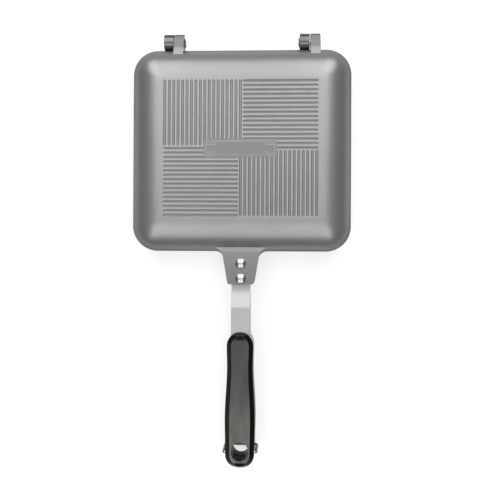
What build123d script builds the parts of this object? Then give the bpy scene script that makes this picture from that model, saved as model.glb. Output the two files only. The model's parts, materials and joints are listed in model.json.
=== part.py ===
from build123d import *
from math import cos, hypot, radians, sin, tan
import os

# A camping sandwich toaster: two cast half shells hinged at the back edge, each on a strap with half
# of the handle, held shut by a wire bail. Millimetres. X runs across the body, +Y points to the
# hinges and +Z is up. The toaster lies flat on the grooved face of its lower half, and the origin is
# the middle of that face.
#
# Both halves are the same casting. Each is drawn in its own half frame, with the parting plane at
# z = 0 and its grooved face up, and the lower half is then turned over about Y.

# Body casting
body_width = 169.0
body_length = 155.6
plan_corner = 19.5
half_height = 20.0
rim_reach = 25.0
flat_corner = 3.0
corner_fade = 1.6
rim_sections = 9
wall = 3.0
land_width = 4.0
parting_gap = 0.3

# Grooves and plaque in the outer face
groove_pitch = 3.36
groove_width = 2.3
groove_depth = 0.55
groove_end_gap = 0.5
field_margin = 1.1
field_crossing = 1.1
plaque_length = 51.8
plaque_height = 10.9
plaque_notch_length = 6.4
plaque_notch_height = 2.7
plaque_edge = 0.3
moat_width = 1.5
moat_depth = 0.4
moat_merge = 0.3

# Hinge lugs and pins
hinge_reach = 6.7
eye_clearance = 0.5
lug_from_corner = 4.65
lug_width = 7.5
lug_gap = 0.7
lug_over_rim = 5.2
lug_crest = 1.8
lug_crest_height = 12.0
lug_slope = 24.0
lug_tip = 4.2
lug_edge = 1.2
pin_radius = 2.4
running_clearance = 0.08
pin_head_lip = 2.9
pin_head_height = 2.6
pin_tail_lip = 1.2
pin_tail_height = 0.6
pin_end_play = 0.1

# Handle boss, strap and rivets
boss_length = 25.3
boss_root_width = 34.2
boss_root_depth = 16.0
boss_end_width = 20.0
boss_roof = 5.4
boss_ramp = 0.9
boss_spare = 4.0
boss_corner = 2.0
boss_blend = 7.0
strap_width = 14.5
strap_thickness = 2.0
strap_clearance = 0.15
strap_bend_radius = 4.0
strap_end_cover = 3.7
strap_flat = 4.5
strap_climb = 13.5
strap_neck = 18.5
tang_length = 31.0
rivet_end_distance = 4.1
rivet_spacing = 11.8
rivet_radius = 2.0
rivet_head_lip = 2.0
rivet_head_height = 1.4
rivet_tail_lip = 1.4
rivet_tail_height = 1.0
rivet_tail_clearance = 0.6

# Grip
grip_length = 103.6
grip_thickness = 14.2
grip_gap = 0.3
shoulder_half = 10.2
neck_half = 9.85
neck_station = 24.0
swell_half = 11.4
swell_station = 62.0
tail_half = 11.05
grip_bevel = 3.2
grip_edge = 0.8
grip_inner_edge = 1.0
shoulder_roll = 8.0
shoulder_roll_run = 7.0
tail_roll = 7.0
tail_roll_run = 6.0
hang_hole_width = 12.7
hang_hole_stretch = 1.5
hang_hole_taper = 3.3
hang_hole_from_end = 13.6
tang_clearance = 0.1
screw_station = 22.0
screw_radius = 1.75
screw_head_radius = 3.2
screw_head_height = 1.6
screw_head_depth = 2.2
screw_cover = 2.0
screw_hole_clearance = 0.25

# Wire bail
wire_radius = 1.1
bail_from_end = 11.9
bail_side_clearance = 0.3
bail_hole_wall = 1.1
bail_hole_spare = 0.2
bail_swing_clearance = 0.25
bail_pivot_bend = 1.3
bail_corner_bend = 3.0

# Places worked out from the sizes above
edge_x = body_width / 2
edge_y = body_length / 2
field_x = edge_x - rim_reach - field_margin
field_y = edge_y - rim_reach - field_margin
upright_steps = round((field_x + field_crossing - groove_width) / groove_pitch)
level_steps = round((field_y + field_crossing - groove_width) / groove_pitch)
upright_inner_x = upright_steps * groove_pitch + groove_width - field_x
level_inner_y = level_steps * groove_pitch + groove_width - field_y
hinge_y = edge_y + hinge_reach
eye_radius = hinge_reach - eye_clearance
lug_step = lug_width + lug_gap
outboard_lug_x = edge_x - plan_corner - lug_from_corner - lug_width / 2
inboard_lug_x = outboard_lug_x - lug_step
pin_head_radius = pin_radius + pin_head_lip
pin_tail_radius = pin_radius + pin_tail_lip
rivet_head_radius = rivet_radius + rivet_head_lip
rivet_tail_radius = rivet_radius + rivet_tail_lip
strap_level = rivet_tail_clearance + rivet_tail_height + strap_thickness / 2
boss_height = strap_level + strap_thickness / 2 + boss_roof
boss_end_y = -(edge_y + boss_length)
strap_start_y = -(edge_y + strap_end_cover)
grip_mid_level = grip_gap + grip_thickness / 2
grip_top_level = grip_gap + grip_thickness
bend_low_y = boss_end_y - strap_flat
bend_high_y = bend_low_y - strap_climb
grip_start_y = bend_high_y - strap_neck
grip_end_y = grip_start_y - grip_length
bail_y = grip_end_y + bail_from_end
hang_hole_y = grip_end_y + hang_hole_from_end
tang_end_y = grip_start_y - tang_length
screw_y = grip_start_y - screw_station
outer_rivet_y = boss_end_y + rivet_end_distance
inner_rivet_y = outer_rivet_y + rivet_spacing
screw_length = grip_thickness - screw_head_depth - screw_cover
hole_half_at_pivot = hang_hole_width / 2 - grip_thickness / 2 * tan(radians(hang_hole_taper))
pivot_hole_depth = tail_half - hole_half_at_pivot - bail_hole_wall
leg_x = tail_half + bail_side_clearance + wire_radius
far = 400.0


def pillow(inset, height, reach):
    """Closed cushion shape: rounded outlines that shrink and rise along a quarter ellipse."""
    outlines = []
    for step in range(rim_sections):
        angle = radians(90.0 * step / (rim_sections - 1))
        drawn_in = reach * (1 - cos(angle))
        fade = (1 - drawn_in / reach) ** corner_fade
        corner = flat_corner + (plan_corner - inset - flat_corner) * fade
        side_x = body_width - 2 * (inset + drawn_in)
        side_y = body_length - 2 * (inset + drawn_in)
        outlines.append(Pos(0, 0, height * sin(angle)) * RectangleRounded(side_x, side_y, corner))
    return loft(outlines)


def slab(low, high):
    """Everything between two levels."""
    return Pos(0, 0, (low + high) / 2) * Box(far, far, high - low)


def groove(length):
    """Cutting tool for one groove that runs from the origin along +Y: a flat arc with round ends."""
    half = groove_width / 2
    radius = (half ** 2 + groove_depth ** 2) / (2 * groove_depth)
    outline = SlotCenterToCenter(length - 2 * half, 2 * radius, rotation=90)
    one_side = outline & Pos(radius, 0) * Rectangle(2 * radius, far)
    rod = revolve(one_side, Axis.Y)
    return Pos(0, length / 2, half_height + radius - groove_depth) * rod


def grooves():
    """Four quadrants of grooves, upright in one pair of opposite corners and level in the other."""
    upright = groove(field_y - level_inner_y - groove_end_gap)
    level = groove(field_x - upright_inner_x - groove_end_gap)
    tools = []
    for turn in (0, 180):
        for step in range(upright_steps + 1):
            x = -field_x + groove_width / 2 + groove_pitch * step
            tools.append(Rot(0, 0, turn) * Pos(x, level_inner_y + groove_end_gap, 0) * upright)
        for step in range(level_steps + 1):
            y = field_y - groove_width / 2 - groove_pitch * step
            tools.append(Rot(0, 0, turn) * Pos(field_x, y, 0) * Rot(0, 0, 90) * level)
    return tools


def plaque():
    """Bare plaque level with the face, with stepped corners and softened edges."""
    tall = Rectangle(plaque_length - 2 * plaque_notch_length, plaque_height)
    wide = Rectangle(plaque_length, plaque_height - 2 * plaque_notch_height)
    plate = extrude(tall + wide, moat_depth)
    plate = plate.fillet(plaque_edge, plate.edges().group_by(Axis.Z)[-1])
    return Pos(0, 0, half_height - moat_depth) * plate


def moat():
    """Shallow sunk field round the plaque."""
    field = Rectangle(plaque_length + 2 * moat_width, plaque_height + 2 * moat_width)
    return Pos(0, 0, half_height - moat_depth) * extrude(field, moat_depth) - plaque()


def groove_stop():
    """Space that the grooves stop at: they run a little way into the moat."""
    length = plaque_length + 2 * (moat_width - moat_merge)
    height = plaque_height + 2 * (moat_width - moat_merge)
    return Pos(0, 0, half_height) * Box(length, height, half_height)


def lug(middle_x, bore_radius):
    """Hinge lug: a round eye about the pin and an arm whose top falls from a crest on the rim to the tip."""
    root_y = -(hinge_reach + lug_over_rim)
    crest_end_y = root_y + lug_crest
    tip_height = lug_crest_height - (lug_tip - crest_end_y) * tan(radians(lug_slope))
    corners = [
        (root_y, parting_gap / 2),
        (root_y, lug_crest_height),
        (crest_end_y, lug_crest_height),
        (lug_tip, tip_height),
        (lug_tip, parting_gap / 2),
    ]
    plate = make_face(Polyline(*corners, close=True))
    plate = fillet(plate.vertices().group_by(Axis.X)[-1].sort_by(Axis.Y)[-1], lug_edge)
    side = plate + Circle(eye_radius) - Circle(bore_radius)
    block = extrude(Plane.YZ * side, lug_width / 2, both=True)
    return Pos(middle_x, hinge_y, 0) * block


def lugs():
    """Both lugs of one half: the pin is fast in the inboard one and runs in the outboard one."""
    return [lug(-inboard_lug_x, pin_radius), lug(outboard_lug_x, pin_radius + running_clearance)]


def boss_plan():
    """Tapered plan of the boss, drawn on into the body."""
    root_y = -(edge_y - boss_root_depth)
    root_half = boss_root_width / 2
    end_half = boss_end_width / 2
    points = [(-root_half, root_y), (root_half, root_y), (end_half, boss_end_y), (-end_half, boss_end_y)]
    outline = make_face(Polyline(*points, close=True))
    return fillet(outline.vertices().group_by(Axis.Y)[0], boss_corner)


def boss_side():
    """Side view of the boss: its level top rises in a short ramp where it runs into the rim."""
    root_y = -(edge_y - land_width)
    points = [
        (root_y, 0),
        (root_y, boss_height + boss_ramp),
        (-edge_y, boss_height),
        (boss_end_y, boss_height),
        (boss_end_y, 0),
    ]
    return Plane.YZ * make_face(Polyline(*points, close=True))


def boss(cushion):
    """The boss that carries the strap, its flanks blended into the rim, with the slice of rim between."""
    tall = extrude(boss_plan(), boss_height + boss_ramp + boss_spare) - slab(-far, parting_gap / 2)
    joined = cushion + tall
    meets = new_edges(cushion, tall, combined=joined)
    flanks = meets.filter_by(lambda edge: abs(edge.center().X) > boss_end_width / 2)
    flanks = flanks.filter_by(lambda edge: edge.center().Z > parting_gap)
    return joined.fillet(boss_blend, flanks) & extrude(boss_side(), far, both=True)


def strap_channel():
    """Groove in the boss's inner side that the strap is let into, up to the strap's outer face."""
    top = strap_level + strap_thickness / 2
    width = strap_width + 2 * strap_clearance
    inner_y = strap_start_y + strap_clearance
    outer_y = boss_end_y - boss_corner
    return Pos(0, (inner_y + outer_y) / 2, top / 2) * Box(width, inner_y - outer_y, top)


def rivet_holes():
    """Cylinders through boss and strap at both rivets."""
    return [Pos(0, y, 0) * Cylinder(rivet_radius, far) for y in (inner_rivet_y, outer_rivet_y)]


def half_shell():
    """The casting of one half, in the half frame."""
    cushion = pillow(0, half_height, rim_reach) - slab(-far, parting_gap / 2)
    body = cushion + boss(cushion)
    body += lugs()
    chamber = pillow(land_width, half_height - wall, rim_reach - land_width + wall)
    body -= chamber
    body -= strap_channel()
    body -= [tool - groove_stop() for tool in grooves()]
    return body - moat() - rivet_holes()


def dome(radius, height):
    """Low dome on the plane z = 0."""
    sphere_radius = (radius ** 2 + height ** 2) / (2 * height)
    ball = Pos(0, 0, height - sphere_radius) * Sphere(sphere_radius)
    return ball & Pos(0, 0, height / 2) * Cylinder(radius, height)


def hinge_pin():
    """Domed pin through both lugs of one hinge, its tail spread beyond the outboard lug."""
    shank_length = 2 * lug_width + lug_gap + pin_end_play
    shank = Pos(0, 0, -shank_length / 2) * Cylinder(pin_radius, shank_length)
    tail = Pos(0, 0, -shank_length) * Rot(180, 0, 0) * dome(pin_tail_radius, pin_tail_height)
    upright = shank + dome(pin_head_radius, pin_head_height) + tail
    head_x = -(inboard_lug_x - lug_width / 2)
    return Pos(head_x, hinge_y, 0) * Rot(0, 90, 0) * upright


def rivet(y):
    """Domed rivet through boss and strap, its tail formed flat against the strap."""
    bottom = strap_level - strap_thickness / 2
    length = boss_height - bottom
    shank = Pos(0, 0, bottom + length / 2) * Cylinder(rivet_radius, length)
    head = Pos(0, 0, boss_height) * dome(rivet_head_radius, rivet_head_height)
    tail = Pos(0, 0, bottom - rivet_tail_height / 2) * Cylinder(rivet_tail_radius, rivet_tail_height)
    return Pos(0, y, 0) * (shank + head + tail)


def strap():
    """Cranked flat strap from the boss into the grip, holed for the rivets and the screw."""
    path = FilletPolyline(
        (0, strap_start_y, strap_level),
        (0, bend_low_y, strap_level),
        (0, bend_high_y, grip_mid_level),
        (0, tang_end_y, grip_mid_level),
        radius=strap_bend_radius,
    )
    section = Plane(path @ 0, x_dir=(1, 0, 0), z_dir=path % 0) * Rectangle(strap_width, strap_thickness)
    screw_hole = Pos(0, screw_y, 0) * Cylinder(screw_radius + screw_hole_clearance, far)
    return sweep(section, path) - rivet_holes() - screw_hole


def grip_outline():
    """Plan of the grip: round shoulder, drawn-in neck, swell, and a round tail."""
    shoulder_y = grip_start_y - shoulder_half
    tail_y = grip_end_y + tail_half
    side = Spline(
        (shoulder_half, shoulder_y),
        (neck_half, grip_start_y - neck_station),
        (swell_half, grip_start_y - swell_station),
        (tail_half, tail_y),
        tangents=[(0, -1), (0, -1)],
    )
    top = ThreePointArc((-shoulder_half, shoulder_y), (0, grip_start_y), (shoulder_half, shoulder_y))
    bottom = ThreePointArc((tail_half, tail_y), (0, grip_end_y), (-tail_half, tail_y))
    return make_face(Curve() + [top, side, bottom, mirror(side, Plane.YZ)])


def roll(middle_y, radius, way):
    """Quarter round from the outer face down to one end; way is +1 at the shoulder, -1 at the tail."""
    low = grip_top_level - radius
    half = radius * sin(radians(45))
    arc = ThreePointArc(
        (middle_y, grip_top_level),
        (middle_y + way * half, low + half),
        (middle_y + way * radius, low),
    )
    return Curve() + [arc, Line((middle_y + way * radius, low), (middle_y + way * radius, 0))]


def grip_profile():
    """Side view that cuts the grip's ends: both roll over from the outer face, a little past the plan."""
    shoulder_y = grip_start_y - shoulder_roll_run
    tail_y = grip_end_y + tail_roll_run
    outer = Line((tail_y, grip_top_level), (shoulder_y, grip_top_level))
    inner = Line((shoulder_y + shoulder_roll, 0), (tail_y - tail_roll, 0))
    edges = [outer, inner, roll(shoulder_y, shoulder_roll, 1), roll(tail_y, tail_roll, -1)]
    return Plane.YZ * make_face(Curve() + edges)


def hang_hole():
    """Tapered long hole through the grip's tail, widest at the outer face."""
    mouth = SlotCenterToCenter(hang_hole_stretch, hang_hole_width, rotation=90)
    mouth = Pos(0, hang_hole_y, grip_top_level) * mouth
    return extrude(mouth, -(grip_thickness + grip_gap), taper=hang_hole_taper)


def grip_blank():
    """The moulded outside of one grip, bevelled round its outer face, before its holes."""
    plan = Pos(0, 0, grip_gap) * extrude(grip_outline(), grip_thickness)
    blank = plan & extrude(grip_profile(), far, both=True)
    outer_edges = blank.edges().filter_by(GeomType.LINE, reverse=True)
    outer_edges = outer_edges.filter_by(lambda edge: edge.center().Z > grip_mid_level)
    bevelled = blank.chamfer(grip_bevel, grip_bevel, outer_edges)
    block = bevelled.fillet(grip_edge, new_edges(blank, combined=bevelled))
    inner_edges = block.edges().filter_by_position(Axis.Z, 0, grip_gap)
    return block.fillet(grip_inner_edge, inner_edges)


def half_grip(with_bail):
    """One grip with its tang slot, screw hole and hanging hole, and pivot holes where it has the bail."""
    grip = grip_blank() - hang_hole()
    slot_length = tang_length + tang_clearance
    slot_y = grip_start_y - slot_length / 2
    slot_width = strap_width + 2 * tang_clearance
    grip -= Pos(0, slot_y, grip_mid_level) * Box(slot_width, slot_length, strap_thickness)
    seat = grip_gap + screw_head_depth
    grip -= Pos(0, screw_y, seat / 2) * Cylinder(screw_head_radius + screw_hole_clearance, seat)
    grip -= Pos(0, screw_y, seat + screw_length / 2) * Cylinder(screw_radius, screw_length)
    if with_bail:
        for side in (-1, 1):
            middle = Pos(side * (tail_half - pivot_hole_depth + far / 2), bail_y, grip_mid_level)
            grip -= middle * Rot(0, 90, 0) * Cylinder(wire_radius + running_clearance, far)
    return grip


def grip_screw():
    """Pan-head screw from the grip's inner side through the tang."""
    seat = grip_gap + screw_head_depth
    shank = Pos(0, 0, seat + screw_length / 2) * Cylinder(screw_radius, screw_length)
    head = Pos(0, 0, seat) * Rot(180, 0, 0) * dome(screw_head_radius, screw_head_height)
    return Pos(0, screw_y, 0) * (shank + head)


def bail_drop():
    """Distance from the bail's pivot to its crossbar that lets it swing round the other grip's tail."""
    centre_y = tail_roll_run - bail_from_end
    centre_z = grip_top_level - tail_roll + grip_mid_level
    furthest = hypot(centre_y, centre_z) + tail_roll
    return furthest + bail_swing_clearance + wire_radius


def latch_bail():
    """Wire bail: two short ends in the upper grip, two legs and a crossbar behind the lower grip."""
    end_x = tail_half - pivot_hole_depth + bail_hole_spare
    low = grip_mid_level - bail_drop()
    path = FilletPolyline(
        (-end_x, bail_y, grip_mid_level),
        (-leg_x, bail_y, grip_mid_level),
        (-leg_x, bail_y, low),
        (leg_x, bail_y, low),
        (leg_x, bail_y, grip_mid_level),
        (end_x, bail_y, grip_mid_level),
        radius=[bail_pivot_bend, bail_corner_bend, bail_corner_bend, bail_pivot_bend],
    )
    section = Plane(path @ 0, z_dir=path % 0) * Circle(wire_radius)
    return sweep(section, path)


def upper(shape):
    """Place a half-frame shape in the upper half."""
    return Pos(0, 0, half_height) * shape


def lower(shape):
    """Place a half-frame shape in the lower half, turned over about Y."""
    return Pos(0, 0, half_height) * Rot(0, 180, 0) * shape


def all_nodes():
    """Every piece under its node name."""
    shell = half_shell()
    nodes = {
        "upper_shell": upper(shell),
        "lower_shell": lower(shell),
        "left_hinge_pin": upper(hinge_pin()),
        "right_hinge_pin": lower(hinge_pin()),
        "upper_grip": upper(half_grip(True)),
        "lower_grip": lower(half_grip(False)),
        "latch_bail": upper(latch_bail()),
    }
    for side, place in (("upper", upper), ("lower", lower)):
        nodes[side + "_strap"] = place(strap())
        nodes[side + "_body_rivet"] = place(rivet(inner_rivet_y))
        nodes[side + "_grip_rivet"] = place(rivet(outer_rivet_y))
        nodes[side + "_grip_screw"] = place(grip_screw())
    return nodes


os.makedirs("parts", exist_ok=True)
for name, shape in all_nodes().items():
    export_step(shape, os.path.join("parts", name + ".step"))
    print(name, "volume", round(shape.volume, 2))
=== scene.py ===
import bpy
import json
import math
from mathutils import Euler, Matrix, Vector

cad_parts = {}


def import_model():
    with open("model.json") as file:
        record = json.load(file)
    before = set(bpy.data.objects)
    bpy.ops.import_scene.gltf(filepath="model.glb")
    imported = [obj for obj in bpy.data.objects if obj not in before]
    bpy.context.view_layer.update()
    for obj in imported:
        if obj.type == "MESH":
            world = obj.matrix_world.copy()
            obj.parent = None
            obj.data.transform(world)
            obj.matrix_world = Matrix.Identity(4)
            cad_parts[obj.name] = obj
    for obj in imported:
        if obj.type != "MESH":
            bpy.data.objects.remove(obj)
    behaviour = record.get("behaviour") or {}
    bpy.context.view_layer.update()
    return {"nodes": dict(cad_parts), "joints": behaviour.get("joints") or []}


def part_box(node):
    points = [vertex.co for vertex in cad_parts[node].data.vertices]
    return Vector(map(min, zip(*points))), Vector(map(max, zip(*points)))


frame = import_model()

# Places read from the frame
face_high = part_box("upper_shell")[1].z
parting_z = face_high / 2
hinge_y = next(joint["pos_m"][1] for joint in frame["joints"] if joint["name"] == "lid_hinge")
grip_low, grip_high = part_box("upper_grip")

# Camera: above the closed toaster, leaning a little to its right, as in a product photograph
camera_aim = Vector((-0.00098, -0.06907, parting_z))
camera_distance = 0.600
camera_turn = Euler((math.radians(0.3), math.radians(3.0), math.radians(0.27)))
camera_lens = 57.95
camera_sensor = 36.0

# Pairs of lamps, left and right: angle from straight up towards the hinges, how far each lamp's
# middle is aside from the pair's middle, size across and along that angle, and power of each
lamp_distance = 1.2
pair_middle = -0.045
back_lamps = {"angle": 42, "aside": 0.5, "width": 0.82, "height": 1.22, "power": 8.7}
front_lamps = {"angle": -35, "aside": 0.38, "width": 0.62, "height": 1.08, "power": 4.1}
top_lamps = {"angle": 7, "aside": 0.325, "width": 0.65, "height": 0.28, "power": 0.9}
world_light = 0.09

# Floor: half its side, its height just under the toaster, its darkest and palest grey, its roughness
floor_reach = 1.2
floor_z = -0.0001
floor_greys = ((0.41, 0.41, 0.41), (0.43, 0.43, 0.43))
floor_rough = 0.85

# White that the floor adds for the camera and for reflections: the distances from the middle
# between which it changes, and its strength at each of them
camera_glow = {"low": 0.35, "high": 0.9, "new_low": 0.67, "new_high": 1.0}
mirror_glow = {"low": 0.10, "high": 0.20, "new_low": 1.0, "new_high": 0.05}

# Grooved field in the outer faces: half its size across and along, and its soft edge
field_half = (0.0584, 0.0517)
field_edge = 0.0002

# Depths at which the rubbed crown of a rib with its painted highlight fades, and the painted shade
# on the floor of a groove begins
groove_depth = 0.00055
crown_fade = (0.04 * groove_depth, 0.35 * groove_depth)
groove_painted_shade_fade = (0.3 * groove_depth, 0.9 * groove_depth)

# The level grooves begin this far beside the lengthwise middle line of the body, and reach this far
# over its crosswise one
quadrant_crossing = 0.001

# Sunk place of the plaque: half its size across and along, and its soft edge
sunk_half = (0.0274, 0.0069)
sunk_edge = 0.0001

# The plaque is a long and a tall rectangle on each other: half their sizes, and the width of the
# painted highlight along its edge
plaque_long = (0.0259, 0.00275)
plaque_tall = (0.0195, 0.00545)
plaque_highlight_width = 0.0007

# Painted shade on the flanks: full strength up to the first distance from the parting plane, gone at
# the second
flank_painted_shade_fade = (0.003, 0.012)
flank_painted_shade_strength = 0.95

# Ends of the body, where boss and lugs begin, the soft edge there, and the far end of the boss
body_end = 0.0778
end_edge = 0.002
boss_end = -0.103

# The lugs begin this far before the hinge axis, and the normals of their inner faces have at least
# this much of the inward direction
lug_reach = 0.0065
lug_tilt = 0.05

# Weight of each direction in telling the chamber's side of the casting from its outside
chamber_weights = (0.1, 0.1, 1.0)

# Outer face of a grip: how upright its normal is and how far from the parting plane it lies
face_upright = (0.985, 0.999)
face_distance = (0.005, 0.007)

# Dust and painted sheen on that face are full this far from the grip's tail and gone this far from
# its neck
dust_and_sheen_tail = 0.01
dust_and_sheen_neck = 0.03

# Finishes, as linear colours
coat_grey = (0.33, 0.33, 0.335)
coat_dark = (0.05, 0.05, 0.052)
lug_grey = (0.16, 0.16, 0.163)
steel_grey = (0.44, 0.44, 0.43)
rivet_grey = (0.56, 0.56, 0.56)
chrome_grey = (0.72, 0.72, 0.71)
grip_black = (0.004, 0.004, 0.004)
# Dust and painted sheen on a grip's flat outer face
dust_and_sheen_black = (0.074, 0.0713, 0.0665)

# Tones of the coat, with its painted shade and painted highlights, as multiples of its grey
crown_wear_and_highlight = 1.25
upright_groove_painted_shade = 0.80
level_groove_painted_shade = 0.56
plaque_edge_painted_highlight = 1.1
plaque_shade = 0.68
sunk_painted_shade = 0.78
flank_painted_shade = 0.5
boss_end_painted_shade = 0.66
boss_root_painted_shade = 0.83
lug_shade = 0.68

# Darkest and palest tint of each uneven colour, as multiples of it
coat_tints = (0.94, 1.06)
chamber_tints = (0.7, 1.4)
steel_tints = (0.9, 1.05)
polish_tints = (0.85, 1.08)
black_tints = (0.6, 1.8)

# Tints of the specks in the coat, the bright lines of brushed steel and the dust and painted sheen
# on a grip
speck_tint = 1.15
line_tint = 1.2
dust_and_sheen_tint = 2.6

# How metallic the coats are, outside and in the chamber, and how weakly coat and grip reflect
coat_metallic = 0.7
chamber_metallic = 0.3
coat_specular_tint = (0.2, 0.2, 0.2, 1.0)
grip_specular_level = 0.3

# Roughness of each finish, at its smoothest and its dullest spots
coat_rough = (0.33, 0.39)
chamber_rough = (0.10, 0.20)
strap_rough = (0.42, 0.52)
rivet_rough = (0.24, 0.32)
screw_rough = (0.25, 0.35)
chrome_rough = (0.10, 0.20)
wire_rough = (0.16, 0.28)
grip_rough = (0.06, 0.16)
worn_rough = (0.12, 0.26)

# Stretch of the brushing along the strap, and of the streaks along a grip
brushing_stretch = (1.0, 0.03, 1.0)
streak_stretch = (3.0, 0.6, 1.0)

# Depth of each fine relief
grain_depth = 0.00002
fine_depth = 0.000008
brushing_depth = 0.000004
dent_depth = 0.00004
wave_depth = 0.00006


class Graph:
    """A new material and short calls for the shader nodes that build it."""

    # First input and output of a mix node for each kind of value
    mix_sockets = {"RGBA": (6, 2), "FLOAT": (2, 0)}

    def __init__(self, name):
        self.material = bpy.data.materials.new(name)
        self.material.use_nodes = True
        self.nodes = self.material.node_tree.nodes
        self.links = self.material.node_tree.links
        self.shader = self.nodes["Principled BSDF"]
        self.coords = self.nodes.new("ShaderNodeTexCoord").outputs
        self.place = self.coords["Object"]

    def feed(self, socket, value):
        """Link a node output into a socket, or set the socket to a plain value."""
        if isinstance(value, bpy.types.NodeSocket):
            self.links.new(value, socket)
        elif isinstance(value, tuple) and len(value) == 3 and len(socket.default_value) == 4:
            socket.default_value = (*value, 1.0)
        else:
            socket.default_value = value

    def set(self, **values):
        """Feed the shader's sockets: base_color sets Base Color."""
        for name, value in values.items():
            self.feed(self.shader.inputs[name.replace("_", " ").title()], value)

    def math(self, operation, first, second=0.0):
        """Result of one operation on one or two values."""
        node = self.nodes.new("ShaderNodeMath")
        node.operation = operation
        self.feed(node.inputs[0], first)
        self.feed(node.inputs[1], second)
        return node.outputs[0]

    def vector_math(self, operation, first, second=(0, 0, 0), output="Vector"):
        """Result of one operation on one or two vectors, or on a vector and its scale."""
        node = self.nodes.new("ShaderNodeVectorMath")
        node.operation = operation
        self.feed(node.inputs[0], first)
        self.feed(node.inputs["Scale" if operation == "SCALE" else 1], second)
        return node.outputs[output]

    def axis(self, vector, name):
        """The X, Y or Z part of a vector."""
        node = self.nodes.new("ShaderNodeSeparateXYZ")
        self.feed(node.inputs[0], vector)
        return node.outputs[name]

    def noise(self, scale, detail=2.0, roughness=0.5, vector=None):
        """Noise from 0 to 1; scale counts its lumps in one metre."""
        node = self.nodes.new("ShaderNodeTexNoise")
        self.feed(node.inputs["Vector"], vector or self.place)
        node.inputs["Scale"].default_value = scale
        node.inputs["Detail"].default_value = detail
        node.inputs["Roughness"].default_value = roughness
        return node.outputs["Fac"]

    def remap(self, value, low, high, new_low=0.0, new_high=1.0):
        """Smooth step of value between low and high onto the new range."""
        node = self.nodes.new("ShaderNodeMapRange")
        node.interpolation_type = "SMOOTHSTEP"
        self.feed(node.inputs["Value"], value)
        self.feed(node.inputs["From Min"], low)
        self.feed(node.inputs["From Max"], high)
        self.feed(node.inputs["To Min"], new_low)
        self.feed(node.inputs["To Max"], new_high)
        return node.outputs["Result"]

    def mix(self, share, first, second, kind="RGBA"):
        """Blend of two colours (RGBA) or two values (FLOAT)."""
        node = self.nodes.new("ShaderNodeMix")
        node.data_type = kind
        start, result = self.mix_sockets[kind]
        self.feed(node.inputs[0], share)
        self.feed(node.inputs[start], first)
        self.feed(node.inputs[start + 1], second)
        return node.outputs[result]

    def blend(self, share, first, second):
        """Blend of two values."""
        return self.mix(share, first, second, "FLOAT")

    def bump(self, height, depth, under=None):
        """Bump of the given depth in metres, on top of an earlier one."""
        node = self.nodes.new("ShaderNodeBump")
        node.inputs["Distance"].default_value = depth
        self.feed(node.inputs["Height"], height)
        if under:
            self.feed(node.inputs["Normal"], under)
        return node.outputs[0]


def tint(colour, factor):
    """Colour made lighter or darker."""
    return tuple(part * factor for part in colour)


def uneven(graph, share, colour, tints):
    """Colour that wanders between its darkest and its palest tint."""
    darkest, palest = tints
    return graph.mix(share, tint(colour, darkest), tint(colour, palest))


def from_parting(graph):
    """Distance above or below the parting plane."""
    height = graph.math("SUBTRACT", graph.axis(graph.place, "Z"), parting_z)
    return graph.math("ABSOLUTE", height)


def depth_inside(graph, half):
    """How far the place lies inside a rectangle about the middle of the face, seen from above."""
    across = graph.math("SUBTRACT", half[0], graph.math("ABSOLUTE", graph.axis(graph.place, "X")))
    along = graph.math("SUBTRACT", half[1], graph.math("ABSOLUTE", graph.axis(graph.place, "Y")))
    return graph.math("MINIMUM", across, along)


def inner_side(graph, facing):
    """Two masks: faces towards the parting plane or the bread chamber, and the lugs' inner faces."""
    normal = graph.coords["Normal"]
    middle = graph.vector_math("SUBTRACT", graph.place, (0, 0, parting_z))
    weighted = graph.vector_math("MULTIPLY", middle, chamber_weights)
    outward = graph.vector_math("DOT_PRODUCT", weighted, normal, output="Value")
    chamber = graph.math("LESS_THAN", outward, 0.0)
    faces_in = graph.math("MULTIPLY", graph.axis(normal, "Z"), facing)
    lug_face = graph.math("GREATER_THAN", faces_in, lug_tilt)
    is_lug = graph.math("GREATER_THAN", graph.axis(graph.place, "Y"), hinge_y - lug_reach)
    is_body = graph.math("SUBTRACT", 1.0, is_lug)
    return graph.math("MULTIPLY", chamber, is_body), graph.math("MULTIPLY", lug_face, is_lug)


def level_grooves(graph):
    """1 in the two opposite quadrants whose grooves run across the body, and 0 in the other two."""
    across = graph.axis(graph.place, "X")
    along = graph.axis(graph.place, "Y")
    right = graph.math("GREATER_THAN", across, quadrant_crossing)
    back = graph.math("GREATER_THAN", along, -quadrant_crossing)
    left = graph.math("LESS_THAN", across, -quadrant_crossing)
    front = graph.math("LESS_THAN", along, quadrant_crossing)
    back_right = graph.math("MULTIPLY", right, back)
    front_left = graph.math("MULTIPLY", left, front)
    return graph.math("MAXIMUM", back_right, front_left)


def groove_wear_and_painted_light(graph, colour):
    """Rubbed crowns with painted highlight, and painted shade on the floors of the grooves, darkest
    in the level ones.
    """
    sunk = graph.math("SUBTRACT", parting_z, from_parting(graph))
    field = graph.remap(depth_inside(graph, field_half), -field_edge, field_edge)
    crown = graph.remap(sunk, *crown_fade, new_low=1.0, new_high=0.0)
    wear = graph.noise(scale=160, detail=3.0)
    rubbed = graph.remap(wear, low=0.25, high=0.6, new_low=0.55)
    crown_wear_and_highlight_share = graph.math("MULTIPLY", graph.math("MULTIPLY", field, crown), rubbed)
    # Crowns of the ribs made lighter: rubbed wear and painted highlight
    colour = graph.mix(crown_wear_and_highlight_share, colour, tint(coat_grey, crown_wear_and_highlight))
    # Painted shade on the floors of the grooves, darker in the level ones
    upright_painted_shade_colour = tint(coat_grey, upright_groove_painted_shade)
    level_painted_shade_colour = tint(coat_grey, level_groove_painted_shade)
    groove_painted_shade_colour = graph.mix(level_grooves(graph), upright_painted_shade_colour, level_painted_shade_colour)
    groove_painted_shade_share = graph.math("MULTIPLY", field, graph.remap(sunk, *groove_painted_shade_fade))
    return graph.mix(groove_painted_shade_share, colour, groove_painted_shade_colour)


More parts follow.
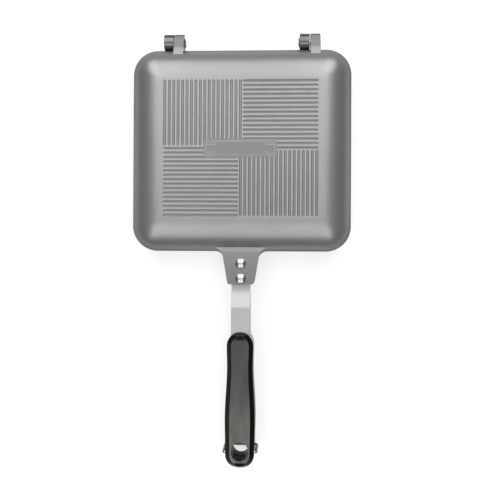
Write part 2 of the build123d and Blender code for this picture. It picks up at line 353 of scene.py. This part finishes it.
def plaque_tone_and_painted_light(graph, colour):
    """Darker plaque with a painted highlight along its edge, and painted shade in its sunk place
    around it.
    """
    long_part = depth_inside(graph, plaque_long)
    tall_part = depth_inside(graph, plaque_tall)
    inside = graph.math("MAXIMUM", long_part, tall_part)
    # Painted highlight along the plaque's edge, a darker plate inside, and painted shade in the sunk
    # place around it
    plate = graph.remap(inside, plaque_highlight_width * 0.5, plaque_highlight_width, plaque_edge_painted_highlight, plaque_shade)
    shade = graph.blend(graph.math("LESS_THAN", inside, 0.0), plate, sunk_painted_shade)
    sunk_place = graph.remap(depth_inside(graph, sunk_half), -sunk_edge, sunk_edge)
    return graph.mix(sunk_place, colour, graph.vector_math("SCALE", coat_grey, shade))


def lug_tone_and_boss_painted_shade(graph, colour):
    """Darker lugs, and painted shade on the boss that darkens away from the body."""
    along = graph.axis(graph.place, "Y")
    past_end = graph.remap(graph.math("ABSOLUTE", along), body_end, body_end + end_edge)
    # Painted shade on the boss, darker towards its far end
    boss_painted_shade = graph.remap(along, boss_end, -body_end, boss_end_painted_shade, boss_root_painted_shade)
    shade = graph.blend(graph.math("GREATER_THAN", along, 0.0), boss_painted_shade, lug_shade)
    return graph.mix(past_end, colour, graph.vector_math("SCALE", coat_grey, shade))


def outer_coat(graph, blotches, grain):
    """Colour of the grey coat, blotched and grained, with the tones of each place on it and painted
    shade and painted highlights.
    """
    colour = uneven(graph, blotches, coat_grey, coat_tints)
    specks = graph.remap(grain, low=0.35, high=0.75, new_high=0.25)
    colour = graph.mix(specks, colour, tint(coat_grey, speck_tint))
    colour = plaque_tone_and_painted_light(graph, groove_wear_and_painted_light(graph, colour))
    # Painted shade darkening the flanks near the parting plane
    flank_painted_shade_share = graph.remap(from_parting(graph), *flank_painted_shade_fade, new_low=flank_painted_shade_strength, new_high=0.0)
    colour = graph.mix(flank_painted_shade_share, colour, tint(coat_grey, flank_painted_shade))
    return lug_tone_and_boss_painted_shade(graph, colour)


def casting(name, facing):
    """Grey baked coat outside and glossy dark non-stick coat inside, on cast aluminium.

    The open side of the half faces down where facing is -1, and up where it is 1.
    """
    graph = Graph(name)
    blotches = graph.noise(scale=35, detail=3.0)
    grain = graph.noise(scale=900)
    fine = graph.noise(scale=2600, detail=1.0)
    chamber, lug_face = inner_side(graph, facing)
    inner = graph.math("MAXIMUM", chamber, lug_face)
    outside = outer_coat(graph, blotches, grain)
    inside = uneven(graph, blotches, coat_dark, chamber_tints)
    inside = graph.mix(lug_face, inside, lug_grey)
    outer_rough = graph.blend(graph.noise(scale=60, detail=3.0), *coat_rough)
    inner_rough = graph.blend(graph.noise(scale=300, detail=3.0), *chamber_rough)
    graph.set(
        base_color=graph.mix(inner, outside, inside),
        metallic=graph.blend(chamber, coat_metallic, chamber_metallic),
        roughness=graph.blend(inner, outer_rough, inner_rough),
        normal=graph.bump(fine, fine_depth, graph.bump(grain, grain_depth)),
    )
    graph.shader.inputs["Specular Tint"].default_value = coat_specular_tint
    return graph.material


def brushed_steel(name):
    """Steel strip with a fine lengthwise brushing."""
    graph = Graph(name)
    stretched = graph.vector_math("MULTIPLY", graph.place, brushing_stretch)
    lines = graph.noise(scale=2500, detail=3.0, roughness=0.6, vector=stretched)
    stain = graph.noise(scale=70, detail=3.0)
    colour = uneven(graph, stain, steel_grey, steel_tints)
    bright_lines = graph.remap(lines, low=0.3, high=0.8, new_high=0.3)
    graph.set(
        base_color=graph.mix(bright_lines, colour, tint(steel_grey, line_tint)),
        metallic=1.0,
        roughness=graph.blend(lines, *strap_rough),
        normal=graph.bump(lines, brushing_depth),
    )
    return graph.material


def polished(name, colour, rough):
    """Smooth formed metal with small dents and uneven polish."""
    graph = Graph(name)
    stain = graph.noise(scale=500, detail=3.0)
    polish = graph.noise(scale=800)
    dents = graph.noise(scale=350)
    graph.set(
        base_color=uneven(graph, stain, colour, polish_tints),
        metallic=1.0,
        roughness=graph.blend(polish, *rough),
        normal=graph.bump(dents, dent_depth),
    )
    return graph.material


def grip_face(graph):
    """1 on the flat outer face of a grip, and 0 elsewhere."""
    upright = graph.math("ABSOLUTE", graph.axis(graph.coords["Normal"], "Z"))
    is_upright = graph.remap(upright, *face_upright)
    is_outer = graph.remap(from_parting(graph), *face_distance)
    return graph.math("MULTIPLY", is_upright, is_outer)


def moulded_black(name):
    """Glossy black phenolic moulding; its flat outer face is rubbed dull, with dust and painted
    sheen, greyer to the tail.
    """
    graph = Graph(name)
    waves = graph.noise(scale=55, detail=1.0)
    rubbed = graph.noise(scale=220, detail=4.0, roughness=0.6)
    stretched = graph.vector_math("MULTIPLY", graph.place, streak_stretch)
    streaks = graph.noise(scale=60, detail=3.0, vector=stretched)
    along = graph.axis(graph.place, "Y")
    to_tail = graph.remap(along, grip_low.y + dust_and_sheen_tail, grip_high.y - dust_and_sheen_neck, 1.0, 0.0)
    # Dust and painted sheen on the flat outer face, greyer towards the tail
    dust_and_sheen_share = graph.math("MULTIPLY", to_tail, streaks)
    dust_and_sheen = graph.mix(dust_and_sheen_share, dust_and_sheen_black, tint(dust_and_sheen_black, dust_and_sheen_tint))
    black = uneven(graph, rubbed, grip_black, black_tints)
    glossy = graph.remap(rubbed, 0.45, 0.8, *grip_rough)
    worn = graph.remap(streaks, 0.3, 0.7, *worn_rough)
    face = grip_face(graph)
    graph.set(
        base_color=graph.mix(face, black, dust_and_sheen),
        roughness=graph.blend(face, glossy, worn),
        normal=graph.bump(waves, wave_depth),
    )
    graph.shader.inputs["Specular IOR Level"].default_value = grip_specular_level
    return graph.material


def dress(node, material):
    """Give a CAD node one material."""
    obj = frame["nodes"][node]
    obj.data.materials.clear()
    obj.data.materials.append(material)


def dress_all():
    """Put a finish on every CAD node."""
    dress("upper_shell", casting("upper_casting", -1.0))
    dress("lower_shell", casting("lower_casting", 1.0))
    strap = brushed_steel("strap_steel")
    rivet = polished("rivet_aluminium", rivet_grey, rivet_rough)
    screw = polished("screw_steel", steel_grey, screw_rough)
    chrome = polished("pin_chrome", chrome_grey, chrome_rough)
    wire = polished("bail_wire", steel_grey, wire_rough)
    black = moulded_black("grip_black")
    for side in ("upper", "lower"):
        dress(side + "_strap", strap)
        dress(side + "_body_rivet", rivet)
        dress(side + "_grip_rivet", rivet)
        dress(side + "_grip_screw", screw)
        dress(side + "_grip", black)
    for side in ("left", "right"):
        dress(side + "_hinge_pin", chrome)
    dress("latch_bail", wire)


def floor_finish():
    """Plain grey that the camera sees as white, and reflections as white near the toaster."""
    graph = Graph("floor")
    path = graph.nodes.new("ShaderNodeLightPath").outputs
    distance = graph.vector_math("LENGTH", graph.place, output="Value")
    mirrored = graph.math("MAXIMUM", path["Is Glossy Ray"], path["Is Transmission Ray"])
    to_camera = graph.math("MULTIPLY", path["Is Camera Ray"], graph.remap(distance, **camera_glow))
    to_mirror = graph.math("MULTIPLY", mirrored, graph.remap(distance, **mirror_glow))
    graph.set(
        base_color=graph.mix(graph.noise(scale=3), *floor_greys),
        roughness=floor_rough,
        emission_color=(1.0, 1.0, 1.0),
        emission_strength=graph.math("MAXIMUM", to_camera, to_mirror),
    )
    return graph.material


def floor():
    """Flat table top that still shows the toaster's shadow."""
    corner_signs = ((-1, -1), (1, -1), (1, 1), (-1, 1))
    corners = [(x * floor_reach, y * floor_reach, floor_z) for x, y in corner_signs]
    mesh = bpy.data.meshes.new("floor")
    mesh.from_pydata(corners, [], [(0, 1, 2, 3)])
    obj = bpy.data.objects.new("floor", mesh)
    bpy.context.scene.collection.objects.link(obj)
    obj.data.materials.append(floor_finish())


def lamps(name, angle, aside, width, height, power):
    """Two soft rectangular lamps side by side, square to the line across the body's middle."""
    turn = math.radians(angle)
    along = lamp_distance * math.sin(turn)
    up = parting_z + lamp_distance * math.cos(turn)
    for side in (-1, 1):
        light = bpy.data.lights.new(name, "AREA")
        light.shape = "RECTANGLE"
        light.size = width
        light.size_y = height
        light.energy = power
        obj = bpy.data.objects.new(name, light)
        obj.location = (pair_middle + side * aside, along, up)
        obj.rotation_euler = (-turn, 0, 0)
        bpy.context.scene.collection.objects.link(obj)


def world():
    """White behind the floor for the camera, and a dim even light for everything else."""
    data = bpy.data.worlds.new("world")
    data.use_nodes = True
    background = data.node_tree.nodes["Background"]
    background.inputs["Color"].default_value = (1, 1, 1, 1)
    path = data.node_tree.nodes.new("ShaderNodeLightPath")
    level = data.node_tree.nodes.new("ShaderNodeMapRange")
    level.inputs["To Min"].default_value = world_light
    data.node_tree.links.new(path.outputs["Is Camera Ray"], level.inputs["Value"])
    data.node_tree.links.new(level.outputs["Result"], background.inputs["Strength"])
    bpy.context.scene.world = data


def camera():
    """Camera high above the toaster."""
    data = bpy.data.cameras.new("camera")
    data.lens = camera_lens
    data.sensor_width = camera_sensor
    obj = bpy.data.objects.new("camera", data)
    obj.location = camera_aim + camera_turn.to_matrix() @ Vector((0, 0, camera_distance))
    obj.rotation_euler = camera_turn
    bpy.context.scene.collection.objects.link(obj)
    bpy.context.scene.camera = obj


dress_all()
floor()
lamps("back_lamp", **back_lamps)
lamps("front_lamp", **front_lamps)
lamps("top_lamp", **top_lamps)
world()
camera()
bpy.context.scene.view_settings.view_transform = "Standard"
